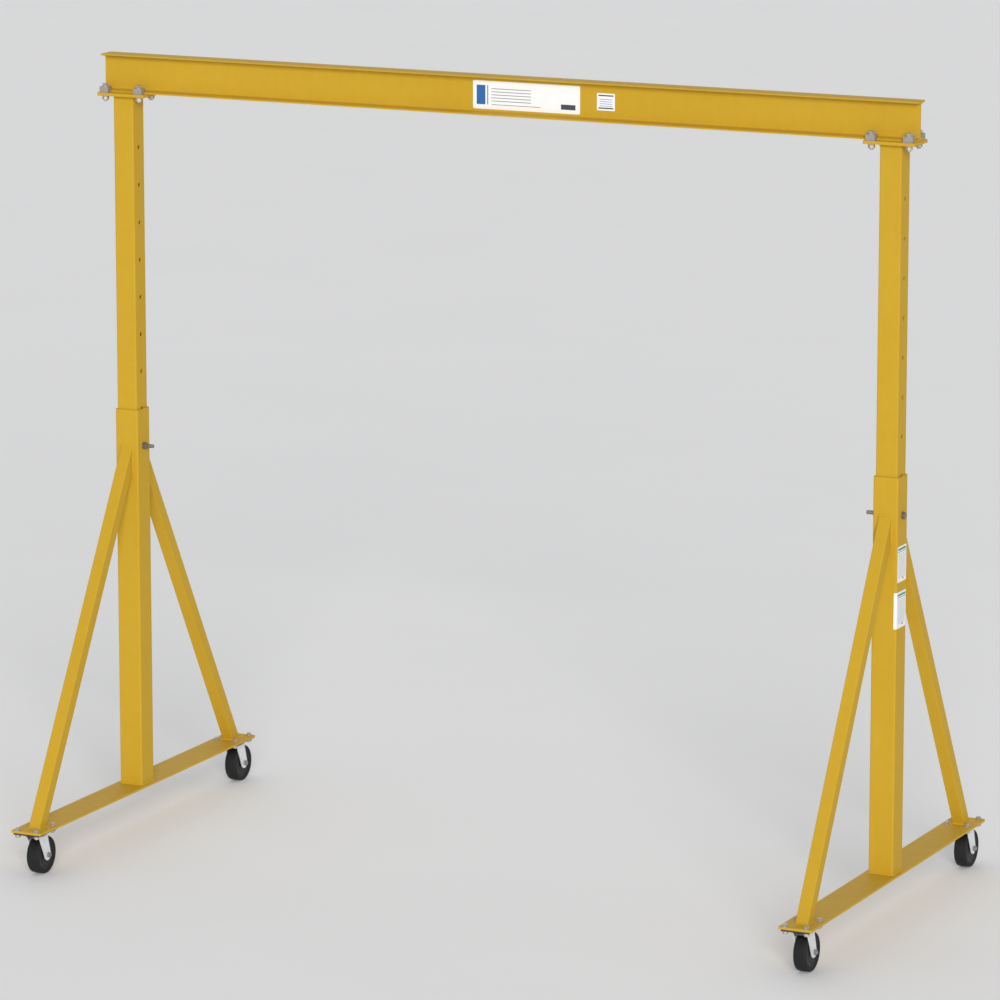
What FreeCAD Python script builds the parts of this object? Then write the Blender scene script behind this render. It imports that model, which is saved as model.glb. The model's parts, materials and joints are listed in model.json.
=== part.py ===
import FreeCAD, Part
import os
from math import acos, atan2, cos, degrees, hypot, pi, sin, sqrt

# Portable gantry crane, millimetres.  X runs along the beam, Y along the base bars, Z up.
# The origin is on the floor under the middle of the beam.

vec = FreeCAD.Vector
x_axis = vec(1, 0, 0)
y_axis = vec(0, 1, 0)
z_axis = vec(0, 0, 1)
inch = 25.4

# ---------------------------------------------------------------- driving sizes
leg_span = 130 * inch             # between the two columns' axes
beam_overhang = 4 * inch          # beam beyond a column's axis

beam_depth = 6 * inch             # rolled I-beam with tapered flanges
flange_width = 84.6
flange_thickness = 9.1            # mean thickness, half way out along the flange
flange_taper = 1 / 6.0
web_thickness = 5.9
root_fillet = 8.0
tip_fillet = 3.0

head_plate_thickness = 0.5 * inch
head_plate_end = 1.125 * inch     # plate beyond the clamp bolts' axes, along X
head_plate_side = 3.0125          # plate beyond the clamp blocks, along Y
plate_corner = 3.0

mast_wall = 4.8                   # inner square tube
mast_corner = 5.0
mast_inserted = 24.5 * inch       # inside the column at the highest setting

column_width = 4 * inch           # outer square tube
column_wall = 4.8
column_corner = 6.0
column_length = 61.5 * inch

hole_pitch = 6 * inch             # height settings
first_hole_drop = 8.25 * inch     # first hole below the head plate
mast_hole_count = 9               # last for the lock bolt, one before it level with the column's top
lock_hole_radius = 8.7

brace_width = 2 * inch            # diagonal square tubes
brace_wall = 3.2
brace_corner = 3.0
brace_foot_inset = 64.4           # base bar's end to the brace's outer face
brace_top_drop = 148.1            # column's top to where the brace's outer face meets it

base_length = 72 * inch           # along Y
base_thickness = 0.375 * inch
base_side = 0.375 * inch          # base bar beyond the caster plate's side

# clamps that grip the beam's lower flange
clamp_spacing_x = 6 * inch
clamp_side_gap = 0.6              # between the bolt's shank and the flange's edge
clamp_bolt_radius = 0.3125 * inch
clamp_block_length = 38.0
clamp_block_height = 24.0
clamp_block_outer = 16.0          # block beyond the bolt's axis
clamp_heel_gap = 1.7              # between the block's heel and the flange's edge
clamp_lip = 12.0                  # how far the lip reaches over the flange
clamp_nose_chamfer = 4.0

lock_bolt_radius = 0.3125 * inch  # through the column and the mast
lock_bolt_tail = 28.425           # thread standing past the lock nut

# casters
wheel_diameter = 6 * inch
wheel_width = 2 * inch
caster_headroom = 1.25 * inch     # wheel's top to the top of the caster's plate
caster_trail = 1.75 * inch        # wheel's axle behind the swivel's axis
caster_plate_thickness = 0.25 * inch
caster_bolt_x = 3.375 * inch
caster_bolt_y = 5 * inch
caster_plate_side = 0.5625 * inch  # plate beyond the bolts' axes, along X
caster_plate_end = 0.5 * inch     # and along Y
caster_bolt_end = 0.5 * inch      # first row of bolts from the base bar's end
caster_bolt_radius = 0.25 * inch

race_radius = 37.0
race_height = 9.5                 # fixed race under the plate
ball_radius = 3.2
ball_circle = 29.0
ball_count = 20
ball_seat = 0.4                   # depth of the balls in the yoke
kingpin_radius = 9.5
kingpin_head_radius = 14.0
kingpin_head_height = 3.2
yoke_drop = 20.5                  # from the plate's top to the yoke's upper face
yoke_thickness = 5.0
fork_leg_thickness = 4.5
fork_front = 22.0                 # yoke's leading edge, ahead of the swivel's axis
fork_back = 42.0                  # yoke's trailing edge
fork_tip_radius = 22.5
fork_bend = 4.0
tyre_thickness = 16.0
tyre_crown = 1.0
tyre_shoulder = 4.5
rim_inset = 1.5                   # rim's face inside the tyre's side
rim_thickness = 9.0
core_draft = 3.0                  # hub and rim thicken by this towards the dish's floor
hub_radius = 21.0
wheel_web = 44.0                  # nearly solid, a shallow dish each side
bushing_radius = 11.0
axle_radius = 0.25 * inch
axle_tail = 3.0                   # thread standing past the axle nut

# hexagon fasteners
half_inch_flats = 0.75 * inch
half_inch_head = 8.0
half_inch_nut = 11.0
big_flats = 0.9375 * inch         # for the clamp bolts and the lock bolts
big_head = 10.0
big_nut = 14.0
washer_thickness = 2.6
washer_margin = 3.5               # washer's rim outside the hexagon's flats
bolt_tail = 6.0                   # thread standing past a nut
hexagon_bevel = 0.6               # share of a hexagon's corner outside its flats
bolt_point = 0.2                  # share of a bolt's radius
tube_inner_corner = 0.25          # smallest inner corner, share of the wall

# clearances
slide_gap = 0.3                   # faces of two bodies that slide or turn past each other
running_gap = 0.05                # radial, shaft in a bearing or a thread
bolt_gap = 0.4                    # radial, bolt in a drilled hole
mast_gap = 1.55                   # each side, mast in the column
wheel_gap = 1.3                   # each side, tyre in the fork
touching = 0.01                   # nearer than this is the same place

# ---------------------------------------------------------------- sizes that follow
beam_length = leg_span + 2 * beam_overhang
clamp_bolt_y = flange_width / 2 + clamp_side_gap + clamp_bolt_radius
head_plate_length = clamp_spacing_x + 2 * head_plate_end
head_plate_width = 2 * (clamp_bolt_y + clamp_block_outer + head_plate_side)
mast_width = column_width - 2 * (column_wall + mast_gap)
mast_exposed = first_hole_drop + (mast_hole_count - 2) * hole_pitch
brace_base_reach = base_length / 2 - brace_foot_inset
brace_rise = column_length - brace_top_drop
lock_bolt_length = column_width + 2 * washer_thickness + big_nut + lock_bolt_tail
caster_height = wheel_diameter + caster_headroom
caster_plate_width = caster_bolt_x + 2 * caster_plate_side
caster_plate_length = caster_bolt_y + 2 * caster_plate_end
base_width = caster_plate_width + 2 * base_side
fork_inner = wheel_width / 2 + wheel_gap
fork_outer = fork_inner + fork_leg_thickness

# ---------------------------------------------------------------- levels and places
base_top = caster_height + base_thickness
column_top = base_top + column_length
mast_top = column_top + mast_exposed
plate_top = mast_top + head_plate_thickness
beam_bottom = plate_top + slide_gap
beam_top = beam_bottom + beam_depth
lock_level = mast_top - first_hole_drop - (mast_hole_count - 1) * hole_pitch
caster_y = base_length / 2 - caster_bolt_end - caster_bolt_y / 2
yoke_top = caster_height - yoke_drop
ball_level = yoke_top + ball_radius - ball_seat
axle = vec(0, caster_trail, wheel_diameter / 2)   # with the swivel's axis at x = y = 0


# ---------------------------------------------------------------- simple shapes
def block(x0, x1, y0, y1, z0, z1):
    return Part.makeBox(x1 - x0, y1 - y0, z1 - z0, vec(x0, y0, z0))


def rod(radius, start, direction, length):
    return Part.makeCylinder(radius, length, start, direction)


def ring(outer, inner, start, direction, length):
    return rod(outer, start, direction, length).cut(rod(inner, start, direction, length))


def fused(shapes):
    return shapes[0].fuse(shapes[1:]).removeSplitter()


def edges_along(shape, direction):
    """Straight edges of a shape that run along a direction."""
    straight = [edge for edge in shape.Edges if len(edge.Vertexes) == 2]
    found = []
    for edge in straight:
        run = edge.Vertexes[1].Point - edge.Vertexes[0].Point
        if abs(run.getAngle(direction)) < 1e-6 or abs(run.getAngle(direction) - pi) < 1e-6:
            found.append(edge)
    return found


def upright_bar(width_x, width_y, z0, z1, corner):
    """Bar on the Z axis with its upright edges rounded."""
    bar = block(-width_x / 2, width_x / 2, -width_y / 2, width_y / 2, z0, z1)
    return bar.makeFillet(corner, edges_along(bar, z_axis))


def square_tube(width, wall, corner, z0, z1):
    inside = width - 2 * wall
    bore = upright_bar(inside, inside, z0, z1, max(corner - wall, wall * tube_inner_corner))
    return upright_bar(width, width, z0, z1, corner).cut(bore)


def hexagon(flats, seat, outward, height):
    """Hexagon prism on its seat, with its corners bevelled at the far end."""
    corner = flats / sqrt(3)
    bevel = (corner - flats / 2) * hexagon_bevel
    points = [vec(corner * cos(i * pi / 3), corner * sin(i * pi / 3), 0) for i in range(7)]
    prism = Part.Face(Part.makePolygon(points)).extrude(vec(0, 0, height))
    drum = rod(corner + 1, vec(0, 0, 0), z_axis, height - bevel)
    crown = Part.makeCone(corner, flats / 2, bevel, vec(0, 0, height - bevel))
    prism = prism.common(drum.fuse(crown))
    prism.Placement = FreeCAD.Placement(seat, FreeCAD.Rotation(z_axis, outward))
    return prism


def bolt(radius, length, flats, head_height, seat, outward):
    """Bolt whose head stands outward from its seat; the shank runs the other way."""
    point = radius * bolt_point
    shank = rod(radius, seat, outward * -1, length - point)
    tip = Part.makeCone(radius, radius - point, point, seat - outward * (length - point), outward * -1)
    return fused([hexagon(flats, seat, outward, head_height), shank, tip])


def nut(radius, flats, height, seat, outward):
    bore = rod(radius + running_gap, seat - outward, outward, height + 2)
    return hexagon(flats, seat, outward, height).cut(bore)


def washer(radius, flats, seat, outward):
    return ring(flats / 2 + washer_margin, radius + bolt_gap, seat, outward, washer_thickness)


def turned(outline, centre):
    """Solid turned about the X axis through a centre, from (x, radius) points."""
    points = [centre + vec(x, 0, radius) for x, radius in outline]
    face = Part.Face(Part.makePolygon(points + [points[0]]))
    return face.revolve(centre, x_axis, 360)


# ---------------------------------------------------------------- beam
def flange_at(y):
    """Thickness of a tapered flange at a distance from the web's middle."""
    mean_at = (flange_width + web_thickness) / 4
    return flange_thickness + (mean_at - y) * flange_taper


def make_beam():
    half_web = web_thickness / 2
    half_flange = flange_width / 2
    corner = [
        (half_flange, 0),
        (half_flange, flange_at(half_flange)),
        (half_web, flange_at(half_web)),
    ]
    lower = [(y, beam_bottom + z) for y, z in corner]
    upper = [(y, beam_top - z) for y, z in reversed(corner)]
    right = lower + upper
    left = [(-y, z) for y, z in reversed(right)]
    points = [vec(-beam_length / 2, y, z) for y, z in right + left]
    beam = Part.Face(Part.makePolygon(points + [points[0]])).extrude(x_axis * beam_length)
    roots = [edge for edge in edges_along(beam, x_axis) if abs(edge.Vertexes[0].Y) < half_web + touching]
    beam = beam.makeFillet(root_fillet, roots)
    tips = []
    for edge in edges_along(beam, x_axis):
        y, z = abs(edge.Vertexes[0].Y), edge.Vertexes[0].Z
        if y > half_flange - touching and beam_bottom + touching < z < beam_top - touching:
            tips.append(edge)
    return beam.makeFillet(tip_fillet, tips)


# ---------------------------------------------------------------- mast and its head
def bolt_grid(x, spacing_x, half_y):
    """Four places of a bolt pattern about a column's axis."""
    return [(x + i * spacing_x / 2, j * half_y) for i in (-1, 1) for j in (-1, 1)]


def make_mast(x):
    tube = square_tube(mast_width, mast_wall, mast_corner, column_top - mast_inserted, mast_top)
    for number in range(mast_hole_count):
        level = mast_top - first_hole_drop - number * hole_pitch
        tube = tube.cut(rod(lock_hole_radius, vec(-mast_width, 0, level), x_axis, 2 * mast_width))
    tube.translate(x_axis * x)
    return tube


def make_head_plate(x):
    plate = upright_bar(head_plate_length, head_plate_width, mast_top, plate_top, plate_corner)
    plate.translate(x_axis * x)
    for bolt_x, bolt_y in bolt_grid(x, clamp_spacing_x, clamp_bolt_y):
        foot = vec(bolt_x, bolt_y, mast_top)
        plate = plate.cut(rod(clamp_bolt_radius + bolt_gap, foot, z_axis, head_plate_thickness))
    return plate


def make_clamp_block(x, side):
    """Block outside the flange whose lip lies over the flange's sloping upper face."""
    half_flange = flange_width / 2
    outer = clamp_bolt_y + clamp_block_outer
    heel = half_flange + clamp_heel_gap
    nose = half_flange - clamp_lip
    top = plate_top + clamp_block_height
    # the lip's underside follows the taper, two gaps above the plate at the flange's tip
    lip = [(y, plate_top + flange_at(y) + 2 * slide_gap) for y in (heel, nose)]
    profile = [
        (outer, plate_top), (heel, plate_top), lip[0], lip[1],
        (nose, top - clamp_nose_chamfer), (nose + clamp_nose_chamfer, top), (outer, top),
    ]
    points = [vec(x - clamp_block_length / 2, side * y, z) for y, z in profile]
    solid = Part.Face(Part.makePolygon(points + [points[0]])).extrude(x_axis * clamp_block_length)
    foot = vec(x, side * clamp_bolt_y, plate_top)
    return solid.cut(rod(clamp_bolt_radius + bolt_gap, foot, z_axis, clamp_block_height))


def make_clamps(x):
    """Blocks, bolts with their washers, and nuts of one head."""
    blocks = []
    bolts = []
    nuts = []
    seat_level = plate_top + clamp_block_height
    stack = washer_thickness + clamp_block_height + head_plate_thickness
    length = stack + washer_thickness + big_nut + bolt_tail
    for bolt_x, bolt_y in bolt_grid(x, clamp_spacing_x, clamp_bolt_y):
        blocks.append(make_clamp_block(bolt_x, 1 if bolt_y > 0 else -1))
        top = vec(bolt_x, bolt_y, seat_level)
        bottom = vec(bolt_x, bolt_y, mast_top)
        head_seat = top + z_axis * washer_thickness
        bolts.append(bolt(clamp_bolt_radius, length, big_flats, big_head, head_seat, z_axis))
        bolts.append(washer(clamp_bolt_radius, big_flats, top, z_axis))
        nuts.append(washer(clamp_bolt_radius, big_flats, bottom, z_axis * -1))
        nut_seat = bottom - z_axis * washer_thickness
        nuts.append(nut(clamp_bolt_radius, big_flats, big_nut, nut_seat, z_axis * -1))
    return Part.makeCompound(blocks), Part.makeCompound(bolts), Part.makeCompound(nuts)


# ---------------------------------------------------------------- lower frame
def make_column(x):
    tube = square_tube(column_width, column_wall, column_corner, base_top, column_top)
    tube = tube.cut(rod(lock_hole_radius, vec(-column_width, 0, lock_level), x_axis, 2 * column_width))
    tube.translate(x_axis * x)
    return tube


def make_brace(x, side):
    """Square tube from the base bar up to the column's face, cut flush with both."""
    run = brace_base_reach - column_width / 2
    lean = atan2(run, brace_rise)
    reach = hypot(run, brace_rise)
    overshoot = 3 * brace_width
    tube = square_tube(brace_width, brace_wall, brace_corner, -overshoot, reach + overshoot)
    tube.translate(y_axis * (-side * brace_width / 2))
    tube.rotate(vec(0, 0, 0), x_axis, side * degrees(lean))
    tube.translate(vec(x, side * brace_base_reach, base_top))
    room = block(-brace_width, brace_width, 0, brace_base_reach + overshoot, 0, brace_rise + overshoot)
    if side < 0:
        room = room.mirror(vec(0, 0, 0), y_axis)
    room.translate(vec(x, side * column_width / 2, base_top))
    return tube.common(room)


def caster_places(x):
    return [(x, side * caster_y) for side in (-1, 1)]


def make_base_bar(x):
    bar = upright_bar(base_width, base_length, caster_height, base_top, plate_corner)
    bar.translate(x_axis * x)
    for _, y in caster_places(x):
        for bolt_x, bolt_y in bolt_grid(x, caster_bolt_x, caster_bolt_y / 2):
            foot = vec(bolt_x, y + bolt_y, caster_height)
            bar = bar.cut(rod(caster_bolt_radius + bolt_gap, foot, z_axis, base_thickness))
    return bar


def make_caster_fasteners(x):
    """Bolts with their washers, and nuts, for the two casters of one base bar."""
    bolts = []
    nuts = []
    length = washer_thickness + base_thickness + caster_plate_thickness + half_inch_nut + bolt_tail / 2
    for _, y in caster_places(x):
        for bolt_x, bolt_y in bolt_grid(x, caster_bolt_x, caster_bolt_y / 2):
            top = vec(bolt_x, y + bolt_y, base_top)
            bottom = vec(bolt_x, y + bolt_y, caster_height - caster_plate_thickness)
            head_seat = top + z_axis * washer_thickness
            bolts.append(bolt(caster_bolt_radius, length, half_inch_flats, half_inch_head, head_seat, z_axis))
            bolts.append(washer(caster_bolt_radius, half_inch_flats, top, z_axis))
            nuts.append(nut(caster_bolt_radius, half_inch_flats, half_inch_nut, bottom, z_axis * -1))
    return Part.makeCompound(bolts), Part.makeCompound(nuts)


def make_lock_bolt(x, outward):
    """Bolt and washer; the head is on the crane's outer side."""
    wall = vec(x, 0, lock_level) + outward * (column_width / 2)
    head_seat = wall + outward * washer_thickness
    shank = bolt(lock_bolt_radius, lock_bolt_length, big_flats, big_head, head_seat, outward)
    return Part.makeCompound([shank, washer(lock_bolt_radius, big_flats, wall, outward)])


def make_lock_nut(x, inward):
    wall = vec(x, 0, lock_level) + inward * (column_width / 2)
    nut_seat = wall + inward * washer_thickness
    turned_nut = nut(lock_bolt_radius, big_flats, big_nut, nut_seat, inward)
    return Part.makeCompound([turned_nut, washer(lock_bolt_radius, big_flats, wall, inward)])


# ---------------------------------------------------------------- caster, swivel axis at x = y = 0
def ball_groove():
    return Part.makeTorus(ball_circle, ball_radius + slide_gap / 2, vec(0, 0, ball_level))


def make_caster_plate():
    """Bolted plate with the fixed race and the riveted kingpin."""
    plate_bottom = caster_height - caster_plate_thickness
    plate = upright_bar(caster_plate_width, caster_plate_length, plate_bottom, caster_height, plate_corner)
    for bolt_x, bolt_y in bolt_grid(0, caster_bolt_x, caster_bolt_y / 2):
        foot = vec(bolt_x, bolt_y, plate_bottom)
        plate = plate.cut(rod(caster_bolt_radius + bolt_gap, foot, z_axis, caster_plate_thickness))
    race = rod(race_radius, vec(0, 0, plate_bottom - race_height), z_axis, race_height)
    race = race.cut(ball_groove())
    pin_bottom = yoke_top - yoke_thickness - slide_gap
    pin = rod(kingpin_radius, vec(0, 0, pin_bottom), z_axis, plate_bottom - pin_bottom)
    head = rod(kingpin_head_radius, vec(0, 0, pin_bottom - kingpin_head_height), z_axis, kingpin_head_height)
    return fused([plate, race, pin, head])


def make_caster_balls():
    balls = []
    for number in range(ball_count):
        turn = 2 * pi * number / ball_count
        centre = vec(ball_circle * cos(turn), ball_circle * sin(turn), ball_level)
        balls.append(Part.makeSphere(ball_radius, centre))
    return Part.makeCompound(balls)


def tangent_point(start, centre, radius, side):
    """Where the line from a point (y, z) touches a circle, on its left (1) or right (-1)."""
    dy = start[0] - centre[0]
    dz = start[1] - centre[1]
    turn = atan2(dz, dy) + side * acos(radius / hypot(dy, dz))
    return (centre[0] + radius * cos(turn), centre[1] + radius * sin(turn)), turn


def fork_side(x):
    """One leg's outline, from the yoke down round the axle, in the plane at x."""
    hub = (axle.y, axle.z)
    front = (-fork_front, yoke_top)
    back = (fork_back, yoke_top)
    front_touch, front_turn = tangent_point(front, hub, fork_tip_radius, 1)
    back_touch, back_turn = tangent_point(back, hub, fork_tip_radius, -1)
    under = (front_turn + back_turn - 2 * pi) / 2
    lowest = (hub[0] + fork_tip_radius * cos(under), hub[1] + fork_tip_radius * sin(under))
    front, front_touch, lowest, back_touch, back = [
        vec(x, y, z) for y, z in (front, front_touch, lowest, back_touch, back)
    ]
    edges = [
        Part.makeLine(front, front_touch),
        Part.Arc(front_touch, lowest, back_touch).toShape(),
        Part.makeLine(back_touch, back),
        Part.makeLine(back, front),
    ]
    return Part.Face(Part.Wire(edges))


def make_fork():
    """Pressed fork: a yoke under the balls and two legs down to the axle."""
    yoke_bottom = yoke_top - yoke_thickness
    yoke = block(-fork_outer, fork_outer, -fork_front, fork_back, yoke_bottom, yoke_top)
    legs = [fork_side(x).extrude(x_axis * fork_leg_thickness) for x in (-fork_outer, fork_inner)]
    body = fused([yoke] + legs)
    bends = [edge for edge in edges_along(body, y_axis) if abs(edge.Vertexes[0].Z - yoke_top) < touching]
    body = body.makeFillet(fork_bend, bends)
    dish = rod(race_radius, vec(0, 0, yoke_bottom), z_axis, yoke_thickness)
    body = fused([body, dish])
    body = body.cut(rod(kingpin_radius + running_gap, vec(0, 0, yoke_bottom), z_axis, yoke_thickness))
    body = body.cut(ball_groove())
    return body.cut(rod(axle_radius + bolt_gap / 2, axle - x_axis * 2 * fork_outer, x_axis, 4 * fork_outer))


def make_tyre():
    outer = wheel_diameter / 2
    half = wheel_width / 2
    edge = outer - tyre_crown
    inner = outer - tyre_thickness
    bend = tyre_shoulder * (1 - sqrt(0.5))
    centre = axle
    points = [
        (-half, inner), (-half, edge - tyre_shoulder), (-half + bend, edge - bend),
        (-half + tyre_shoulder, edge), (0, outer), (half - tyre_shoulder, edge),
        (half - bend, edge - bend), (half, edge - tyre_shoulder), (half, inner),
    ]
    p = [centre + vec(x, 0, radius) for x, radius in points]
    edges = [
        Part.makeLine(p[0], p[1]),
        Part.Arc(p[1], p[2], p[3]).toShape(),
        Part.Arc(p[3], p[4], p[5]).toShape(),
        Part.Arc(p[5], p[6], p[7]).toShape(),
        Part.makeLine(p[7], p[8]),
        Part.makeLine(p[8], p[0]),
    ]
    return Part.Face(Part.Wire(edges)).revolve(centre, x_axis, 360)


def make_wheel_core():
    """Moulded hub, web and rim, bored for the bushing."""
    rim_outer = wheel_diameter / 2 - tyre_thickness
    rim_inner = rim_outer - rim_thickness
    rim_half = wheel_width / 2 - rim_inset
    hub_half = fork_inner - slide_gap
    web_half = wheel_web / 2
    bore = bushing_radius + running_gap
    right = [
        (hub_half, bore), (hub_half, hub_radius), (web_half, hub_radius + core_draft),
        (web_half, rim_inner - core_draft), (rim_half, rim_inner), (rim_half, rim_outer),
    ]
    left = [(-x, radius) for x, radius in reversed(right)]
    return turned(right + left, axle)


def make_axle_bushing():
    end = axle - x_axis * fork_inner
    return ring(bushing_radius, axle_radius + bolt_gap / 2, end, x_axis, 2 * fork_inner)


def make_axle_bolt():
    length = 2 * fork_outer + half_inch_nut + axle_tail
    seat = axle - x_axis * fork_outer
    return bolt(axle_radius, length, half_inch_flats, half_inch_head, seat, x_axis * -1)


def make_axle_nut():
    return nut(axle_radius, half_inch_flats, half_inch_nut, axle + x_axis * fork_outer, x_axis)


caster_makers = {
    "caster_plate": make_caster_plate,
    "caster_balls": make_caster_balls,
    "caster_fork": make_fork,
    "wheel_core": make_wheel_core,
    "tyre": make_tyre,
    "axle_bushing": make_axle_bushing,
    "axle_bolt": make_axle_bolt,
    "axle_nut": make_axle_nut,
}


# ---------------------------------------------------------------- the whole crane
def make_leg(name, sign):
    """All pieces of one leg; sign is -1 on the left and 1 on the right."""
    x = sign * leg_span / 2
    outward = x_axis * sign
    blocks, clamp_bolts, clamp_nuts = make_clamps(x)
    caster_bolts, caster_nuts = make_caster_fasteners(x)
    leg = {
        "base_bar": make_base_bar(x),
        "column": make_column(x),
        "front_brace": make_brace(x, -1),
        "rear_brace": make_brace(x, 1),
        "mast": make_mast(x),
        "head_plate": make_head_plate(x),
        "beam_clamps": blocks,
        "clamp_bolts": clamp_bolts,
        "clamp_nuts": clamp_nuts,
        "lock_bolt": make_lock_bolt(x, outward),
        "lock_nut": make_lock_nut(x, outward * -1),
        "caster_bolts": caster_bolts,
        "caster_nuts": caster_nuts,
    }
    for end, (caster_x, y) in zip(("front", "rear"), caster_places(x)):
        for piece, maker in caster_makers.items():
            shape = maker()
            shape.translate(vec(caster_x, y, 0))
            leg[end + "_" + piece] = shape
    return {name + "_" + piece: shape for piece, shape in leg.items()}


def make_crane():
    crane = {"beam": make_beam()}
    crane.update(make_leg("left", -1))
    crane.update(make_leg("right", 1))
    return crane


os.makedirs("parts", exist_ok=True)
for node, shape in make_crane().items():
    shape.exportStep("parts/" + node + ".step")
    print(node, len(shape.Solids), "valid" if shape.isValid() else "NOT VALID", round(shape.Volume))
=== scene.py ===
import json
import math
import random

import bmesh
import bpy
from mathutils import Matrix, Vector


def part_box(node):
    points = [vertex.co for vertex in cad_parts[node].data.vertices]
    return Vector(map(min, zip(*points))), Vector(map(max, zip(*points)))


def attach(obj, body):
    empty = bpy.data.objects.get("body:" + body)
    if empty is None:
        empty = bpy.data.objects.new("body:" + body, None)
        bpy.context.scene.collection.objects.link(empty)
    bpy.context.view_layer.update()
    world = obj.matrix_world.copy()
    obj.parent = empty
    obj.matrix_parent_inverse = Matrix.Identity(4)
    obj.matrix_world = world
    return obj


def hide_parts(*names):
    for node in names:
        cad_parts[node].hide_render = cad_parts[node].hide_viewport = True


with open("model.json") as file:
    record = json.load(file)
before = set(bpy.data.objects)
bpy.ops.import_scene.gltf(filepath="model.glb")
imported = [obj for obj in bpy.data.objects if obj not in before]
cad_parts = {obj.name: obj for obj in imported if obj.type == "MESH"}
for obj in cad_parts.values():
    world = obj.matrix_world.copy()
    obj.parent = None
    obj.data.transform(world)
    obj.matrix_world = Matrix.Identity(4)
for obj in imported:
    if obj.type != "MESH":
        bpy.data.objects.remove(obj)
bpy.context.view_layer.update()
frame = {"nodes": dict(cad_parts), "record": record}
nodes = frame["nodes"]
mm = 0.001
inch = 25.4 * mm
sides = {"left": -1, "right": 1}   # the sign is the outward direction along X
ends = ("front", "rear")
print("frame loaded:", len(nodes), "nodes")


def tone(red, green, blue):
    # a screen colour, 0 to 255, as the shader's own linear colour
    def straight(value):
        value = value / 255
        return value / 12.92 if value <= 0.04045 else ((value + 0.055) / 1.055) ** 2.4
    return (straight(red), straight(green), straight(blue), 1)


# shader building

class Wire:
    # an output socket that can be used in sums
    def __init__(self, finish, socket):
        self.finish = finish
        self.socket = socket

    def other(self, name):
        return Wire(self.finish, self.socket.node.outputs[name])

    def __add__(self, value):
        return self.finish.sum("ADD", self, value)

    def __radd__(self, value):
        return self.finish.sum("ADD", value, self)

    def __sub__(self, value):
        return self.finish.sum("SUBTRACT", self, value)

    def __rsub__(self, value):
        return self.finish.sum("SUBTRACT", value, self)

    def __mul__(self, value):
        return self.finish.sum("MULTIPLY", self, value)

    def __rmul__(self, value):
        return self.finish.sum("MULTIPLY", value, self)

    def __mod__(self, value):
        return self.finish.sum("FLOORED_MODULO", self, value)

    def __gt__(self, value):
        return self.finish.sum("GREATER_THAN", self, value)

    def __lt__(self, value):
        return self.finish.sum("LESS_THAN", self, value)


class Finish:
    # one material; add() puts a node in and hands back its output
    def __init__(self, name, **constants):
        self.material = bpy.data.materials.new(name)
        self.material.use_nodes = True
        self.tree = self.material.node_tree
        self.shader = self.tree.nodes["Principled BSDF"]
        for socket, value in constants.items():
            self.shader.inputs[socket.replace("_", " ")].default_value = value

    def add(self, kind, settings=None, sockets=None, out=0):
        node = self.tree.nodes.new(kind)
        for name, value in (settings or {}).items():
            setattr(node, name, value)
        for name, value in (sockets or {}).items():
            self.join(node.inputs[name], value)
        return Wire(self, node.outputs[out])

    def join(self, socket, value):
        if isinstance(value, Wire):
            self.tree.links.new(value.socket, socket)
        else:
            socket.default_value = value

    def sum(self, operation, first, second):
        return self.add("ShaderNodeMath", {"operation": operation}, {0: first, 1: second})

    def colourMix(self, share, first, second):
        settings = {"data_type": "RGBA"}
        return self.add("ShaderNodeMix", settings, {0: share, 6: first, 7: second}, out=2)

    def spot(self, stretch=(1, 1, 1)):
        # place on the piece in metres, as it stands at rest
        place = self.add("ShaderNodeTexCoord").other("Object")
        return self.add("ShaderNodeVectorMath", {"operation": "MULTIPLY"}, {0: place, 1: stretch})

    def noise(self, where, size, detail=3.0, rough=0.55):
        sockets = {"Vector": where, "Scale": 1 / size, "Detail": detail, "Roughness": rough}
        return self.add("ShaderNodeTexNoise", None, sockets)

    def cells(self, where, size):
        return self.add("ShaderNodeTexVoronoi", None, {"Vector": where, "Scale": 1 / size})

    def between(self, value, low, high):
        # 0 below low, 1 above high and a straight slope between
        sockets = {"Value": value, "From Min": low, "From Max": high}
        return self.add("ShaderNodeMapRange", {"clamp": True}, sockets)

    def softEdge(self, radius):
        return self.add("ShaderNodeBevel", {"samples": 4}, {"Radius": radius})

    def dot(self, first, second):
        sockets = {0: first, 1: second}
        return self.add("ShaderNodeVectorMath", {"operation": "DOT_PRODUCT"}, sockets, out="Value")

    def trueNormal(self):
        return self.add("ShaderNodeNewGeometry").other("True Normal")

    def upward(self):
        parts = self.add("ShaderNodeSeparateXYZ", None, {0: self.trueNormal()})
        return parts.other("Z")

    def relief(self, height, depth, strength=1.0, over=None):
        sockets = {"Height": height, "Distance": depth, "Strength": strength}
        if over is not None:
            sockets["Normal"] = over
        return self.add("ShaderNodeBump", None, sockets)

    def shade(self, **surfaces):
        for socket, value in surfaces.items():
            self.join(self.shader.inputs[socket.replace("_", " ")], value)
        return self.material


enamel = {
    "colour": tone(199, 161, 45),      # where the coat is thickest
    "thin": tone(194, 155, 41),        # and where it is drawn thin
    "dust": tone(160, 142, 104),
    "steel": tone(96, 88, 80),         # bared at a knocked edge
    "drift": 0.55,                     # size of the slow change in the coat
    "mottle": 0.045,
    "peel": 0.0035,                    # orange peel
    "speck": 0.0012,
    "runs": 0.02,                      # width of the upright spray runs
    "relief": 0.00012,
    "edge": 0.0012,                    # rounding of edges
    "chip": 0.012,                     # size of the knocks along the edges
    "chipped": (0.67, 0.7),            # where in the noise a knock starts and is full
    "settled": 0.08,                   # how much the dust shows
    "rough": 0.54,
    "shine": 0.13,
    "coat": 0.04,
    "coatRough": 0.3,
}


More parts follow.
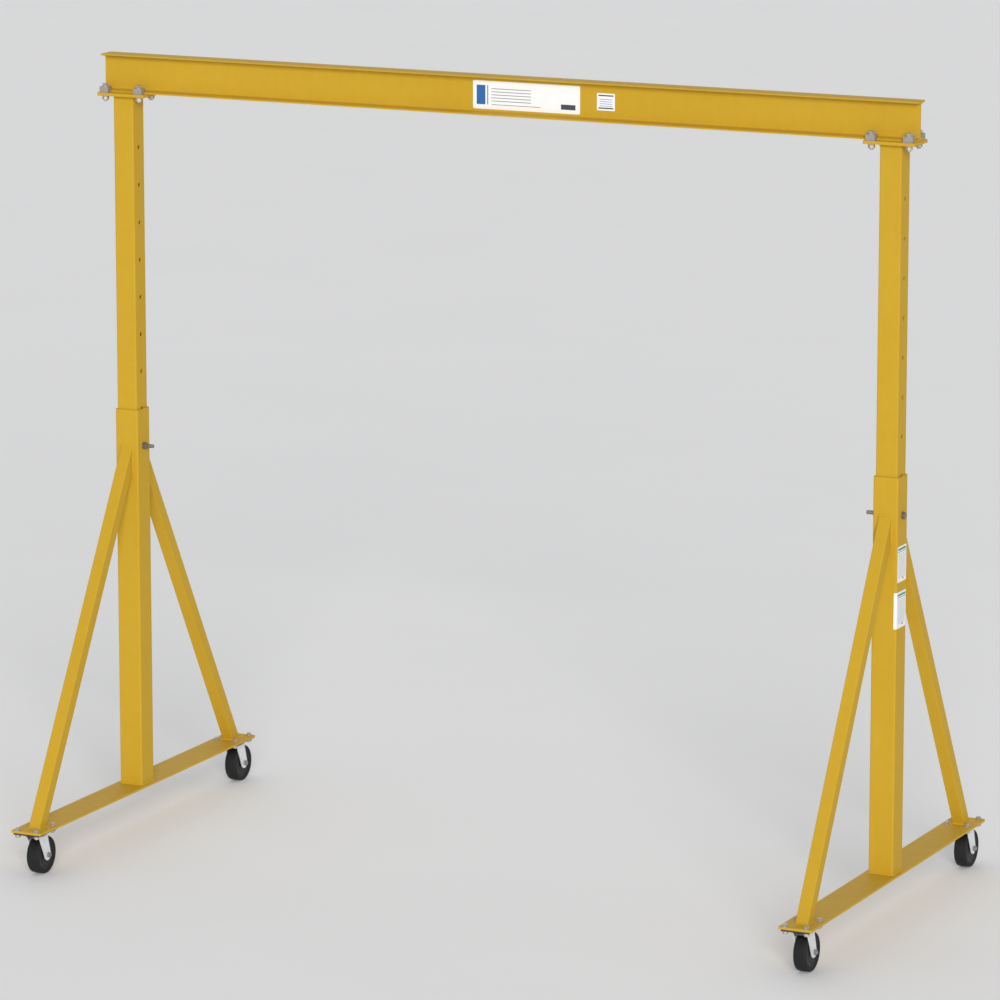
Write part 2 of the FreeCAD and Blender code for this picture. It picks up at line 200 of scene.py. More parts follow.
def enamelFinish():
    finish = Finish(
        "yellowEnamel", Specular_IOR_Level=enamel["shine"], IOR=1.45, Coat_Roughness=enamel["coatRough"],
    )
    spot = finish.spot()
    drift = finish.noise(spot, enamel["drift"], 2)
    mottle = finish.noise(spot, enamel["mottle"], 5, 0.6)
    runs = finish.noise(finish.spot((1, 1, 0.06)), enamel["runs"], 3)
    peel = finish.noise(spot, enamel["peel"], 2, 0.5)
    speck = finish.cells(spot, enamel["speck"])
    thin = finish.between(drift * 0.45 + mottle * 0.35 + runs * 0.2, 0.38, 0.66)
    colour = finish.colourMix(thin, enamel["colour"], enamel["thin"])
    # dust settles on what faces up
    settled = finish.between(finish.upward(), 0.55, 0.98) * finish.between(mottle, 0.36, 0.72)
    colour = finish.colourMix(settled * enamel["settled"], colour, enamel["dust"])
    # small knocks show steel along the sharpest edges
    rounded = finish.softEdge(enamel["edge"])
    ridge = 1 - finish.dot(rounded, finish.trueNormal())
    chips = finish.between(finish.noise(spot, enamel["chip"], 6, 0.7), *enamel["chipped"])
    knock = chips * finish.between(ridge, 0.03, 0.12)
    colour = finish.colourMix(knock, colour, enamel["steel"])
    gloss = enamel["rough"] + 0.05 * mottle + 0.04 * settled + 0.2 * knock
    height = peel * 0.75 + mottle * 0.15 + speck * 0.06 - knock
    return finish.shade(
        Base_Color=colour,
        Roughness=gloss,
        Metallic=knock * 0.7,
        Coat_Weight=enamel["coat"] - 0.01 * settled,
        Normal=finish.relief(height, enamel["relief"], 0.7, rounded),
    )


# rough and metal feed the shader; grain, spangle, edge and depth are sizes in metres
metals = {
    "zincCasting": {
        "colour": tone(172, 168, 167), "stain": tone(150, 146, 144), "rough": 0.5, "metal": 0.6,
        "grain": 0.0016, "depth": 0.00014, "stretch": (1, 1, 1), "spangle": 0.004, "edge": 0.001,
    },
    "zincFastener": {
        "colour": tone(192, 187, 182), "stain": tone(168, 158, 144), "rough": 0.36, "metal": 0.8,
        "grain": 0.0008, "depth": 0.00006, "stretch": (1, 1, 1), "spangle": 0.003, "edge": 0.0005,
    },
    "axleZinc": {
        "colour": tone(160, 161, 162), "stain": tone(132, 130, 126), "rough": 0.38, "metal": 0.8,
        "grain": 0.0008, "depth": 0.00006, "stretch": (1, 1, 1), "spangle": 0.003, "edge": 0.0005,
    },
    "lockSteel": {
        "colour": tone(158, 152, 142), "stain": tone(110, 96, 78), "rough": 0.4, "metal": 0.85,
        "grain": 0.001, "depth": 0.00008, "stretch": (1, 1, 1), "spangle": 0.004, "edge": 0.0005,
    },
    "zincPressing": {
        "colour": tone(233, 235, 236), "stain": tone(214, 217, 219), "rough": 0.42, "metal": 0.3,
        "grain": 0.001, "depth": 0.00005, "stretch": (1, 1, 0.12), "spangle": 0.007, "edge": 0.0012,
    },
    "bearingSteel": {
        "colour": tone(205, 205, 208), "stain": tone(168, 160, 140), "rough": 0.16, "metal": 1.0,
        "grain": 0.0006, "depth": 0.00002, "stretch": (1, 1, 1), "spangle": 0.01, "edge": 0.0003,
    },
}


forkLow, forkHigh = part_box("right_front_caster_fork")
# painted shade on the fork crown under the caster plate: where it lies and the dark colour painted there
yokeShade = {
    "middle": (forkLow.x + forkHigh.x) / 2,     # distance of a caster from the middle of the beam
    "half": 27 * mm,
    "from": forkHigh.z - 24 * mm,
    "full": forkHigh.z - 14 * mm,
    "colour": tone(44, 42, 40),
}


def metalFinish(name):
    made = metals[name]
    finish = Finish(name, IOR=1.6)
    spot = finish.spot()
    spangle = finish.cells(spot, made["spangle"]).other("Color")
    tint = finish.dot(spangle, (0.5, 0.3, 0.2))
    grain = finish.noise(finish.spot(made["stretch"]), made["grain"], 4, 0.65)
    cloud = finish.noise(spot, 0.018, 4, 0.6)
    stained = finish.between(cloud * 0.6 + tint * 0.4, 0.35, 0.75)
    colour = finish.colourMix(stained, made["colour"], made["stain"])
    rounded = finish.softEdge(made["edge"])
    ridge = finish.between(1 - finish.dot(rounded, finish.trueNormal()), 0.02, 0.15)
    # painted highlight: the sharpest edges are coloured up to a quarter brighter than the metal
    edgeHighlight = tuple(min(1, 1.25 * part) for part in made["colour"][:3]) + (1,)
    colour = finish.colourMix(ridge * 0.5, colour, edgeHighlight)
    if name == "zincPressing":
        # painted shade: the fork crown between the legs, round the balls, is coloured dark where the caster
        # plate shades it
        parts = finish.add("ShaderNodeSeparateXYZ", None, {0: spot})
        fromBeam = finish.sum("ABSOLUTE", parts.other("X"), 0)
        across = finish.sum("ABSOLUTE", fromBeam - yokeShade["middle"], 0)
        shadedCrown = (across < yokeShade["half"]) * finish.between(parts.other("Z"), yokeShade["from"], yokeShade["full"])
        colour = finish.colourMix(shadedCrown * (0.8 + 0.2 * cloud), colour, yokeShade["colour"])
    return finish.shade(
        Base_Color=colour,
        Metallic=made["metal"] - 0.15 * cloud,
        Roughness=made["rough"] + 0.12 * grain + 0.1 * tint - 0.08 * ridge,
        Normal=finish.relief(grain + 0.4 * tint, made["depth"], 0.8, rounded),
    )


mouldings = {
    "tyreRubber": {
        "colour": tone(25, 26, 28), "worn": tone(37, 36, 35), "rough": 0.62, "grain": 0.0012,
        "depth": 0.00012, "edge": 0.001,
    },
    "wheelMoulding": {
        "colour": tone(29, 29, 32), "worn": tone(42, 41, 40), "rough": 0.45, "grain": 0.0022,
        "depth": 0.00008, "edge": 0.001,
    },
    "darkPressing": {
        "colour": tone(58, 58, 60), "worn": tone(92, 88, 84), "rough": 0.4, "grain": 0.0009,
        "depth": 0.00005, "edge": 0.001,
    },
}


def mouldedFinish(name):
    made = mouldings[name]
    finish = Finish(name, IOR=1.5, Specular_IOR_Level=0.3)
    spot = finish.spot()
    grain = finish.noise(spot, made["grain"], 3, 0.6)
    scuff = finish.noise(spot, 0.009, 6, 0.7)
    dusty = finish.between(scuff * 0.7 + grain * 0.3, 0.48, 0.72)
    colour = finish.colourMix(dusty * 0.7, made["colour"], made["worn"])
    rounded = finish.softEdge(made["edge"])
    return finish.shade(
        Base_Color=colour,
        Roughness=made["rough"] + 0.2 * dusty,
        Normal=finish.relief(grain + 0.5 * scuff, made["depth"], 0.8, rounded),
    )


finishes = {name: metalFinish(name) for name in metals}
finishes.update({name: mouldedFinish(name) for name in mouldings})
finishes["yellowEnamel"] = enamelFinish()

slotOf = {
    "yellowEnamel": "yellow_paint",
    "zincCasting": "zinc_castings",
    "axleZinc": "zinc_fasteners",
    "zincFastener": "zinc_fasteners",
    "lockSteel": "lock_steel",
    "zincPressing": "zinc_pressings",
    "darkPressing": "dark_plate",
    "bearingSteel": "bearing_steel",
    "tyreRubber": "tyre_rubber",
    "wheelMoulding": "wheel_core",
}
finishOf = {slotName: finishes[name] for name, slotName in slotOf.items()}
for entry in frame["record"]["subparts"]:
    for place in nodes[entry["node"]].material_slots:
        place.material = finishOf[entry["material_slot"]]
print("finishes on the frame's pieces:", len(finishes))


# mesh building

def newPiece(name, mesh, finishName, body, replaced=(), smooth=40):
    # turns a bmesh into a piece that rides on a body
    bmesh.ops.recalc_face_normals(mesh, faces=mesh.faces)
    data = bpy.data.meshes.new(name)
    mesh.to_mesh(data)
    mesh.free()
    piece = bpy.data.objects.new(name, data)
    bpy.context.scene.collection.objects.link(piece)
    data.materials.append(finishes[finishName])
    data.shade_smooth()
    data.set_sharp_from_angle(angle=math.radians(smooth))
    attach(piece, body)
    if replaced:
        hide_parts(*replaced)
    return piece


def bridge(mesh, rings, closedRound=True, closedAlong=False):
    # faces between rows of vertices; every row has as many
    count = len(rings[0])
    rows = len(rings)
    for row in range(rows if closedAlong else rows - 1):
        here = rings[row]
        there = rings[(row + 1) % rows]
        for spot in range(count if closedRound else count - 1):
            after = (spot + 1) % count
            mesh.faces.new((here[spot], here[after], there[after], there[spot]))


def ringAt(mesh, place, radius, level, count):
    # radius is a number, or a function of the angle that gives radius and extra height
    found = []
    for step in range(count):
        angle = 2 * math.pi * step / count
        reach, lift = radius(angle) if callable(radius) else (radius, 0.0)
        point = Vector((reach * math.cos(angle), reach * math.sin(angle), level + lift))
        found.append(mesh.verts.new(place @ point))
    return found


def turn(mesh, place, outline, count=48):
    # a solid of revolution about the place's Z axis, from a closed row of (radius, level) points
    rings = [ringAt(mesh, place, radius, level, count) for radius, level in outline]
    bridge(mesh, rings, closedAlong=True)


def cap(mesh, ring, flip=False):
    mesh.faces.new(list(reversed(ring)) if flip else ring)


def facing(point, outward):
    # a place at a point whose Z axis runs outward
    turned = Vector((0, 0, 1)).rotation_difference(Vector(outward)).to_matrix().to_4x4()
    return Matrix.Translation(Vector(point)) @ turned


def hexRadius(flats, slope=0.0, start=0.0):
    # hexagon outline whose corners fall away by slope past the start radius
    def at(angle):
        fromMiddle = (angle % (math.pi / 3)) - math.pi / 6
        reach = flats / 2 / math.cos(fromMiddle)
        return reach, -slope * max(0.0, reach - start)
    return at


hexagon = {"slope": 0.58, "around": 48, "face": 0.96, "lip": 0.3 * mm, "sink": 0.6 * mm}


def hexHead(mesh, place, flats, height):
    # closed head on its seat, with the scalloped chamfer of a turned bar
    plain = hexRadius(flats)
    scalloped = hexRadius(flats, hexagon["slope"], flats / 2)
    face = flats / 2 * hexagon["face"]
    rings = [
        ringAt(mesh, place, plain, 0, hexagon["around"]),
        ringAt(mesh, place, scalloped, height - hexagon["lip"], hexagon["around"]),
        ringAt(mesh, place, face, height, hexagon["around"]),
        ringAt(mesh, place, face * 0.5, height, hexagon["around"]),
    ]
    bridge(mesh, rings)
    cap(mesh, rings[0])
    cap(mesh, rings[-1], flip=True)


def hexNut(mesh, place, flats, height, bore):
    # chamfered both ends, with a countersunk bore
    scalloped = hexRadius(flats, hexagon["slope"], flats / 2)
    under = hexRadius(flats, -hexagon["slope"], flats / 2)
    face = flats / 2 * hexagon["face"]
    lip = hexagon["lip"]
    around = hexagon["around"]
    sink = hexagon["sink"]
    rings = [
        ringAt(mesh, place, bore + sink, 0, around),
        ringAt(mesh, place, face, 0, around),
        ringAt(mesh, place, under, lip, around),
        ringAt(mesh, place, scalloped, height - lip, around),
        ringAt(mesh, place, face, height, around),
        ringAt(mesh, place, bore + sink, height, around),
        ringAt(mesh, place, bore, height - sink, around),
        ringAt(mesh, place, bore, sink, around),
    ]
    bridge(mesh, rings, closedAlong=True)


def flatWasher(mesh, place, outer, inner, thickness):
    # stamped washer: rolled edge above, sharp below
    roll = thickness * 0.25
    outline = [
        (inner, 0), (outer, 0), (outer, thickness - roll), (outer - roll, thickness),
        (inner + roll * 0.6, thickness), (inner, thickness - roll * 0.6),
    ]
    turn(mesh, place, outline)


thread = {"around": 20, "rows": 4, "depth": 0.075}   # depth is a share of the bolt's radius


def threadedShank(mesh, place, radius, length, threaded, pitch):
    # shank from level 0 down to -length; the last stretch carries the thread
    start = -(length - threaded)
    rings = [ringAt(mesh, place, radius, 0, thread["around"])]
    rings.append(ringAt(mesh, place, radius, start, thread["around"]))
    point = radius * 0.2
    steps = max(2, round((threaded - point) / pitch * thread["rows"]))
    depth = radius * thread["depth"]
    for step in range(1, steps + 1):
        level = start - (threaded - point) * step / steps
        fade = min(1.0, step / thread["rows"])

        def crest(angle, level=level, fade=fade):
            phase = (level / pitch + angle / (2 * math.pi)) % 1.0
            return radius - depth * fade * (1 - abs(2 * phase - 1)), 0.0
        rings.append(ringAt(mesh, place, crest, level, thread["around"]))
    rings.append(ringAt(mesh, place, radius - point - depth / 2, -length, thread["around"]))
    bridge(mesh, rings)
    cap(mesh, rings[0])
    cap(mesh, rings[-1])


# fasteners; seats and places come from the frame's boxes

big = {
    "flats": 0.9375 * inch, "radius": 0.3125 * inch, "head": 10 * mm, "nut": 14 * mm, "pitch": 2.31 * mm,
}
small = {
    "flats": 0.75 * inch, "radius": 0.25 * inch, "head": 8 * mm, "nut": 11 * mm, "pitch": 1.95 * mm,
}
threadLength = {"clamp": 20 * mm, "caster": 12 * mm, "lock": 50 * mm, "axle": 12 * mm}
washer = {"thickness": 2.6 * mm, "margin": 3.5 * mm, "gap": 0.4 * mm}


def washerRadius(size):
    return size["flats"] / 2 + washer["margin"]


def addWasher(mesh, place, size):
    flatWasher(mesh, place, washerRadius(size), size["radius"] + washer["gap"], washer["thickness"])


def gridPlaces(low, high, size):
    # four bolts in a box that their washers fill
    inset = washerRadius(size)
    return [(x, y) for x in (low.x + inset, high.x - inset) for y in (low.y + inset, high.y - inset)]


def clampFasteners(side):
    low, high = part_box(side + "_clamp_bolts")
    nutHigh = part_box(side + "_clamp_nuts")[1]
    bolts = bmesh.new()
    nuts = bmesh.new()
    for x, y in gridPlaces(low, high, big):
        seat = high.z - big["head"]
        place = facing((x, y, seat), (0, 0, 1))
        hexHead(bolts, place, big["flats"], big["head"])
        threadedShank(bolts, place, big["radius"], seat - low.z, threadLength["clamp"], big["pitch"])
        addWasher(bolts, facing((x, y, seat - washer["thickness"]), (0, 0, 1)), big)
        addWasher(nuts, facing((x, y, nutHigh.z), (0, 0, -1)), big)
        nutSeat = facing((x, y, nutHigh.z - washer["thickness"]), (0, 0, -1))
        hexNut(nuts, nutSeat, big["flats"], big["nut"], big["radius"])
    head = side + "_head"
    newPiece(side + "_clamp_bolts_turned", bolts, "zincFastener", head, [side + "_clamp_bolts"])
    newPiece(side + "_clamp_nuts_turned", nuts, "zincFastener", head, [side + "_clamp_nuts"])


def casterFasteners(side):
    low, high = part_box(side + "_caster_bolts")
    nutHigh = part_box(side + "_caster_nuts")[1]
    bolts = bmesh.new()
    nuts = bmesh.new()
    inset = washerRadius(small)
    seat = high.z - small["head"]
    for end in ends:
        plateLow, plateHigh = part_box(side + "_" + end + "_caster_plate")
        middle = (plateLow.y + plateHigh.y) / 2
        outer = low.y if end == "front" else high.y
        reach = abs(outer - middle) - inset
        for x in (low.x + inset, high.x - inset):
            for y in (middle - reach, middle + reach):
                place = facing((x, y, seat), (0, 0, 1))
                hexHead(bolts, place, small["flats"], small["head"])
                threadedShank(
                    bolts, place, small["radius"], seat - low.z, threadLength["caster"], small["pitch"],
                )
                addWasher(bolts, facing((x, y, seat - washer["thickness"]), (0, 0, 1)), small)
                nutSeat = facing((x, y, nutHigh.z), (0, 0, -1))
                hexNut(nuts, nutSeat, small["flats"], small["nut"], small["radius"])
    body = side + "_frame"
    newPiece(side + "_caster_bolts_turned", bolts, "zincFastener", body, [side + "_caster_bolts"])
    newPiece(side + "_caster_nuts_turned", nuts, "zincFastener", body, [side + "_caster_nuts"])


def lockFasteners(side, sign):
    low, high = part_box(side + "_lock_bolt")
    nutLow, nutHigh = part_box(side + "_lock_nut")
    middle = (low + high) / 2
    tip = low.x if sign > 0 else high.x
    headEnd = high.x if sign > 0 else low.x
    seat = headEnd - sign * big["head"]
    bolt = bmesh.new()
    place = facing((seat, middle.y, middle.z), (sign, 0, 0))
    hexHead(bolt, place, big["flats"], big["head"])
    threadedShank(bolt, place, big["radius"], abs(seat - tip), threadLength["lock"], big["pitch"])
    wall = seat - sign * washer["thickness"]
    addWasher(bolt, facing((wall, middle.y, middle.z), (sign, 0, 0)), big)
    newPiece(side + "_lock_bolt_turned", bolt, "lockSteel", side + "_lock_bolt", [side + "_lock_bolt"])
    nut = bmesh.new()
    wall = nutHigh.x if sign > 0 else nutLow.x
    addWasher(nut, facing((wall, middle.y, middle.z), (-sign, 0, 0)), big)
    nutSeat = facing((wall - sign * washer["thickness"], middle.y, middle.z), (-sign, 0, 0))
    hexNut(nut, nutSeat, big["flats"], big["nut"], big["radius"])
    newPiece(side + "_lock_nut_turned", nut, "lockSteel", side + "_lock_nut", [side + "_lock_nut"])


for side, sign in sides.items():
    clampFasteners(side)
    casterFasteners(side)
    lockFasteners(side, sign)
print("fasteners turned")


# wheels

wheel = {
    "ridge": 0.35 * mm,        # mould line standing on the tread
    "ridgeHalf": 0.7 * mm,
    "shoulder": 4.5 * mm,
    "crown": 0.7 * mm,
    "bead": 0.5 * mm,          # raised rings on the side wall, at the shoulder and at the bore
    "beadOut": 1.2 * mm,
    "beadIn": 2.6 * mm,
    "beadRise": 0.6 * mm,
    "lip": 0.4 * mm,           # chamfer at the bore
    "thickness": 16 * mm,
    "around": 96,
}


def tyreOutline(outer, inner, half):
    # half of the section from the mould line to the bore, as (radius, level)
    tread = outer - wheel["ridge"]
    edge = tread - wheel["crown"]
    bend = wheel["shoulder"]
    points = [(outer, 0), (outer, wheel["ridgeHalf"] * 0.6), (tread, wheel["ridgeHalf"])]
    for share in (0.35, 0.7, 1.0):
        points.append((tread - wheel["crown"] * share * share, (half - bend) * share))
    for step in range(1, 7):
        angle = math.pi / 2 * step / 6
        points.append((edge - bend + bend * math.cos(angle), half - bend + bend * math.sin(angle)))
    wall = edge - bend
    lip = wheel["lip"]
    points.append((wall - wheel["beadOut"], half - wheel["bead"]))
    points.append((inner + wheel["beadIn"], half - wheel["bead"]))
    points.append((inner + wheel["beadIn"] - wheel["beadRise"], half))
    points.append((inner + lip, half))
    points.append((inner, half - lip))
    return points


def makeTyre(name, body, low, high):
    middle = (low + high) / 2
    outer = (high.z - low.z) / 2
    half = (high.x - low.x) / 2
    mesh = bmesh.new()
    inner = outer - wheel["thickness"]
    side = tyreOutline(outer, inner, half)
    outline = side + [(radius, -level) for radius, level in reversed(side[1:])]
    turn(mesh, facing(middle, (1, 0, 0)), outline, wheel["around"])
    newPiece(name + "_moulded", mesh, "tyreRubber", body, [name], smooth=35)


core = {
    "rim": 9 * mm,
    "hub": 21 * mm,
    "web": 44 * mm,
    "draft": 3 * mm,
    "rimInset": 2.5 * mm,      # how far the rim stands back from the hub's face
    "bore": 11.05 * mm,
    "boreLip": 0.8 * mm,
    "hubRound": 1.5 * mm,
    "rimRound": 0.5 * mm,
    "fillet": 1 * mm,
    "step": 0.6 * mm,          # height of the pressed step
}


def makeCore(name, body, low, high):
    # nearly solid, with a shallow dish between hub and rim and a step pressed into its floor
    middle = (low + high) / 2
    outer = (high.z - low.z) / 2
    hubHalf = (high.x - low.x) / 2
    rimHalf = hubHalf - core["rimInset"]
    web = core["web"] / 2
    hub = core["hub"]
    rimInner = outer - core["rim"]
    draft = core["draft"]
    fillet = core["fillet"]
    raised = web + core["step"]
    stepAt = (hub + rimInner) / 2
    side = [
        (core["bore"], hubHalf - core["boreLip"]),
        (core["bore"] + core["boreLip"], hubHalf),
        (hub - core["hubRound"], hubHalf),
        (hub, hubHalf - core["hubRound"]),
        (hub + draft * 0.6, web + fillet),
        (hub + draft + fillet, web),
        (stepAt - 1.2 * mm, web),
        (stepAt, raised),
        (stepAt + 1.6 * mm, raised),
        (stepAt + 2.8 * mm, web),
        (rimInner - draft - fillet, web),
        (rimInner - draft * 0.4, web + 0.8 * mm),
        (rimInner, rimHalf - 0.4 * mm),
        (rimInner + fillet, rimHalf),
        (outer - core["rimRound"], rimHalf),
        (outer, rimHalf - core["rimRound"]),
    ]
    mesh = bmesh.new()
    outline = side + [(radius, -level) for radius, level in reversed(side)]
    turn(mesh, facing(middle, (1, 0, 0)), outline, wheel["around"])
    newPiece(name + "_moulded", mesh, "wheelMoulding", body, [name], smooth=35)


def makeAxle(name, body):
    low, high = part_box(name + "_axle_bolt")
    nutLow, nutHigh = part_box(name + "_axle_nut")
    middle = (low + high) / 2
    centre = (nutLow + nutHigh) / 2
    seat = low.x + small["head"]
    mesh = bmesh.new()
    place = facing((seat, middle.y, centre.z), (-1, 0, 0))
    hexHead(mesh, place, small["flats"], small["head"])
    threadedShank(mesh, place, small["radius"], high.x - seat, threadLength["axle"], small["pitch"])
    newPiece(name + "_axle_bolt_turned", mesh, "axleZinc", body, [name + "_axle_bolt"])
    nut = bmesh.new()
    nutPlace = facing((nutLow.x, centre.y, centre.z), (1, 0, 0))
    hexNut(nut, nutPlace, small["flats"], nutHigh.x - nutLow.x, small["radius"])
    newPiece(name + "_axle_nut_turned", nut, "axleZinc", body, [name + "_axle_nut"])


for side in sides:
    for end in ends:
        name = side + "_" + end
        makeTyre(name + "_tyre", name + "_wheel", *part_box(name + "_tyre"))
        makeCore(name + "_wheel_core", name + "_wheel", *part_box(name + "_wheel_core"))
        makeAxle(name, name + "_swivel")
print("wheels moulded")


# weld beads

weld = {
    "leg": 6 * mm,
    "smallLeg": 5 * mm,
    "ripple": 3.4 * mm,
    "steps": 4,                # rows of vertices in one ripple
    "rise": 0.45 * mm,         # height of a ripple
    "sway": 0.07,              # how much one ripple may differ from the next
    "across": 5,
    "full": 1.45,              # 1 makes a round bead, 2 a flat one
    "sunk": 0.4 * mm,
}
tubeCorner = {"column": 6 * mm, "mast": 5 * mm, "brace": 3.2 * mm}


def roundedLoop(halfU, halfV, corner, step):
    # evenly spaced (place, outward direction) pairs round a rectangle with rounded corners
    found = []
    quarter = [(1, 1), (-1, 1), (-1, -1), (1, -1)]
    for index, (signU, signV) in enumerate(quarter):
        centre = Vector((signU * (halfU - corner), signV * (halfV - corner)))
        start = index * math.pi / 2
        turns = max(3, round(corner * math.pi / 2 / step))
        for part in range(turns + 1):
            angle = start + math.pi / 2 * part / turns
            way = Vector((math.cos(angle), math.sin(angle)))
            found.append((centre + way * corner, way))
        nextU, nextV = quarter[(index + 1) % 4]
        way = found[-1][1]
        target = Vector((nextU * (halfU - corner), nextV * (halfV - corner))) + way * corner
        run = target - found[-1][0]
        count = max(1, round(run.length / step))
        last = found[-1][0]
        for part in range(1, count):
            found.append((last + run * part / count, way))
    return found


def weldBead(name, body, centre, axisU, axisV, halves, corner, wall, seed, leg):
    # a rippled fillet round a tube's end, closed on itself and sunk a little into both pieces
    draw = random.Random(seed)
    step = weld["ripple"] / weld["steps"]
    loop = roundedLoop(halves[0], halves[1], corner, step)
    centre, axisU, axisV, wall = Vector(centre), Vector(axisU), Vector(axisV), Vector(wall).normalized()
    mesh = bmesh.new()
    rings = []
    sway = 0.0
    for index, (spot, way) in enumerate(loop):
        phase = (index % weld["steps"]) / weld["steps"]
        if index % weld["steps"] == 0:
            sway = draw.uniform(-weld["sway"], weld["sway"])
        reach = leg * (1 + sway) + weld["rise"] * (phase * phase - 0.3)
        point = centre + axisU * spot.x + axisV * spot.y
        outward = (axisU * way.x + axisV * way.y).normalized()
        inside = point - (outward + wall) * weld["sunk"]
        ring = [mesh.verts.new(inside)]
        for part in range(weld["across"] + 1):
            angle = math.pi / 2 * part / weld["across"]
            along = math.cos(angle) ** weld["full"] * outward + math.sin(angle) ** weld["full"] * wall
            sink = outward if part == weld["across"] else wall if part == 0 else Vector((0, 0, 0))
            ring.append(mesh.verts.new(point + along * reach - sink * weld["sunk"] * 0.5))
        rings.append(ring)
    bridge(mesh, rings, closedAlong=True)
    newPiece(name, mesh, "yellowEnamel", body, smooth=70)


def frameWelds(side, seed):
    columnLow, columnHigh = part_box(side + "_column")
    mastLow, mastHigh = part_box(side + "_mast")
    middle = (columnLow + columnHigh) / 2
    half = (columnHigh.x - columnLow.x) / 2
    right, forward, up, down = (1, 0, 0), (0, 1, 0), (0, 0, 1), (0, 0, -1)
    body = side + "_frame"
    leg = weld["smallLeg"]
    foot = (middle.x, middle.y, columnLow.z)
    name = side + "_column_weld"
    corner = tubeCorner["column"]
    weldBead(name, body, foot, right, forward, (half, half), corner, up, seed, weld["leg"])
    mastHalf = (mastHigh.x - mastLow.x) / 2
    top = (middle.x, middle.y, mastHigh.z)
    name = side + "_mast_weld"
    corner = tubeCorner["mast"]
    weldBead(name, side + "_head", top, right, forward, (mastHalf, mastHalf), corner, down, seed + 1, leg)
    corner = tubeCorner["brace"]
    for end, sign in zip(ends, (-1, 1)):
        low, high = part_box(side + "_" + end + "_brace")
        width = high.x - low.x
        run, rise = high.y - low.y, high.z - low.z
        lean = math.atan2(run, rise)
        outer = high.y if sign > 0 else low.y
        wall = Vector((0, -sign * math.sin(lean), math.cos(lean)))
        footLength = width / math.cos(lean)
        footMiddle = (middle.x, outer - sign * footLength / 2, low.z)
        name = side + "_" + end + "_brace_foot_weld"
        halves = (width / 2, footLength / 2)
        weldBead(name, body, footMiddle, right, forward, halves, corner, wall, seed + 2 + sign, leg)
        topLength = width / math.sin(lean)
        face = low.y if sign > 0 else high.y
        topMiddle = (middle.x, face, high.z - topLength / 2)
        name = side + "_" + end + "_brace_top_weld"
        halves = (width / 2, topLength / 2)
        weldBead(name, body, topMiddle, right, up, halves, corner, -wall, seed + 5 + sign, leg)


for side, seed in (("left", 11), ("right", 31)):
    frameWelds(side, seed)
print("welds laid")


# printed film labels: plain bars and rules, no lettering

film = {
    "thickness": 0.35 * mm,
    "corner": 2.5 * mm,
    "white": tone(243, 244, 243),
    "edge": tone(238, 239, 237),
    "ruleWidth": 0.24,         # a rule's width as a share of the pitch
    "columns": 60,
    "rows": 12,
}
inks = {
    "blue": tone(30, 96, 164),
    "slate": tone(58, 64, 74),
    "green": tone(44, 138, 118),
    "rule": tone(120, 126, 134),
}
# bars are (left, right, bottom, top, ink); rules are (left, right, bottom, top, pitch, ink), all in mm
prints = {
    "beamLabel": {
        "bars": [(-214, -176, -38, 38, "blue"), (-168, -164, -38, 38, "blue"), (-150, 60, -38, -36, "slate"),
                 (148, 210, -40, -20, "slate")],
        "rules": [(-150, 20, -26, 34, 12, "rule")],
    },
    "squareLabel": {
        "bars": [(-32, 32, 22, 27, "slate"), (-32, 32, -27, -22, "slate")],
        "rules": [(-27, 27, -17, 17, 8.5, "blue")],
    },
    "plateLabel": {
        "bars": [(-40, 40, 54, 63, "green"), (-40, 40, 47, 50, "green"), (4, 18, -60, -55, "slate")],
        "rules": [(-36, 36, -52, 42, 6.5, "rule")],
    },
}


def printFinish(name):
    made = prints[name]
    finish = Finish(name, Coat_Roughness=0.08, IOR=1.5)
    spot = finish.spot((1 / mm, 1 / mm, 1 / mm))
    parts = finish.add("ShaderNodeSeparateXYZ", None, {0: spot})
    across, up = parts.other("X"), parts.other("Y")
    grain = finish.noise(finish.spot(), 0.002, 3)
    cloud = finish.noise(finish.spot(), 0.05, 3)
    colour = finish.colourMix(finish.between(cloud, 0.4, 0.75) * 0.5, film["white"], film["edge"])
    for left, right, bottom, top, ink in made["bars"]:
        inside = (across > left) * (across < right) * (up > bottom) * (up < top)
        colour = finish.colourMix(inside, colour, inks[ink])
    for left, right, bottom, top, pitch, ink in made["rules"]:
        inside = (across > left) * (across < right) * (up > bottom) * (up < top)
        row = (up % pitch) < pitch * film["ruleWidth"]
        colour = finish.colourMix(inside * row, colour, inks[ink])
    return finish.shade(
        Base_Color=colour,
        Roughness=0.3 + 0.1 * cloud,
        Coat_Weight=0.4 - 0.1 * grain,
        Normal=finish.relief(grain, 0.00003, 0.5),
    )


for name in prints:
    finishes[name] = printFinish(name)


def filmSheet(mesh, width, height, bend=None):
    # a thin sheet with rounded corners in the XY plane, cut fine enough to lie over a bend
    columns = film["columns"]
    rows = film["rows"]
    outline = []
    for step in range(columns + 1):
        across = -width / 2 + width * step / columns
        near = max(0.0, film["corner"] - (width / 2 - abs(across)))
        drop = film["corner"] - math.sqrt(max(0.0, film["corner"] ** 2 - near ** 2))
        outline.append((across, height / 2 - drop))
    layers = []
    for level in (0.0, film["thickness"]):
        grid = []
        for across, reach in outline:
            line = []
            for row in range(rows + 1):
                up = -reach + 2 * reach * row / rows
                place = Vector((across, up, level))
                line.append(mesh.verts.new(bend(place) if bend else place))
            grid.append(line)
        layers.append(grid)
    for grid in layers:
        bridge(mesh, grid, closedRound=False)
    under, over = layers
    loops = []
    for grid in (under, over):
        loop = [grid[0][row] for row in range(rows + 1)]
        loop += [line[rows] for line in grid[1:]]
        loop += [grid[-1][row] for row in range(rows - 1, -1, -1)]
        loop += [line[0] for line in reversed(grid[1:-1])]
        loops.append(loop)
    bridge(mesh, loops)


def layLabel(name, printName, body, width, height, place, bend=None):
    mesh = bmesh.new()
    filmSheet(mesh, width, height, bend)
    piece = newPiece(name, mesh, printName, body, smooth=50)
    piece.matrix_world = place
    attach(piece, body)


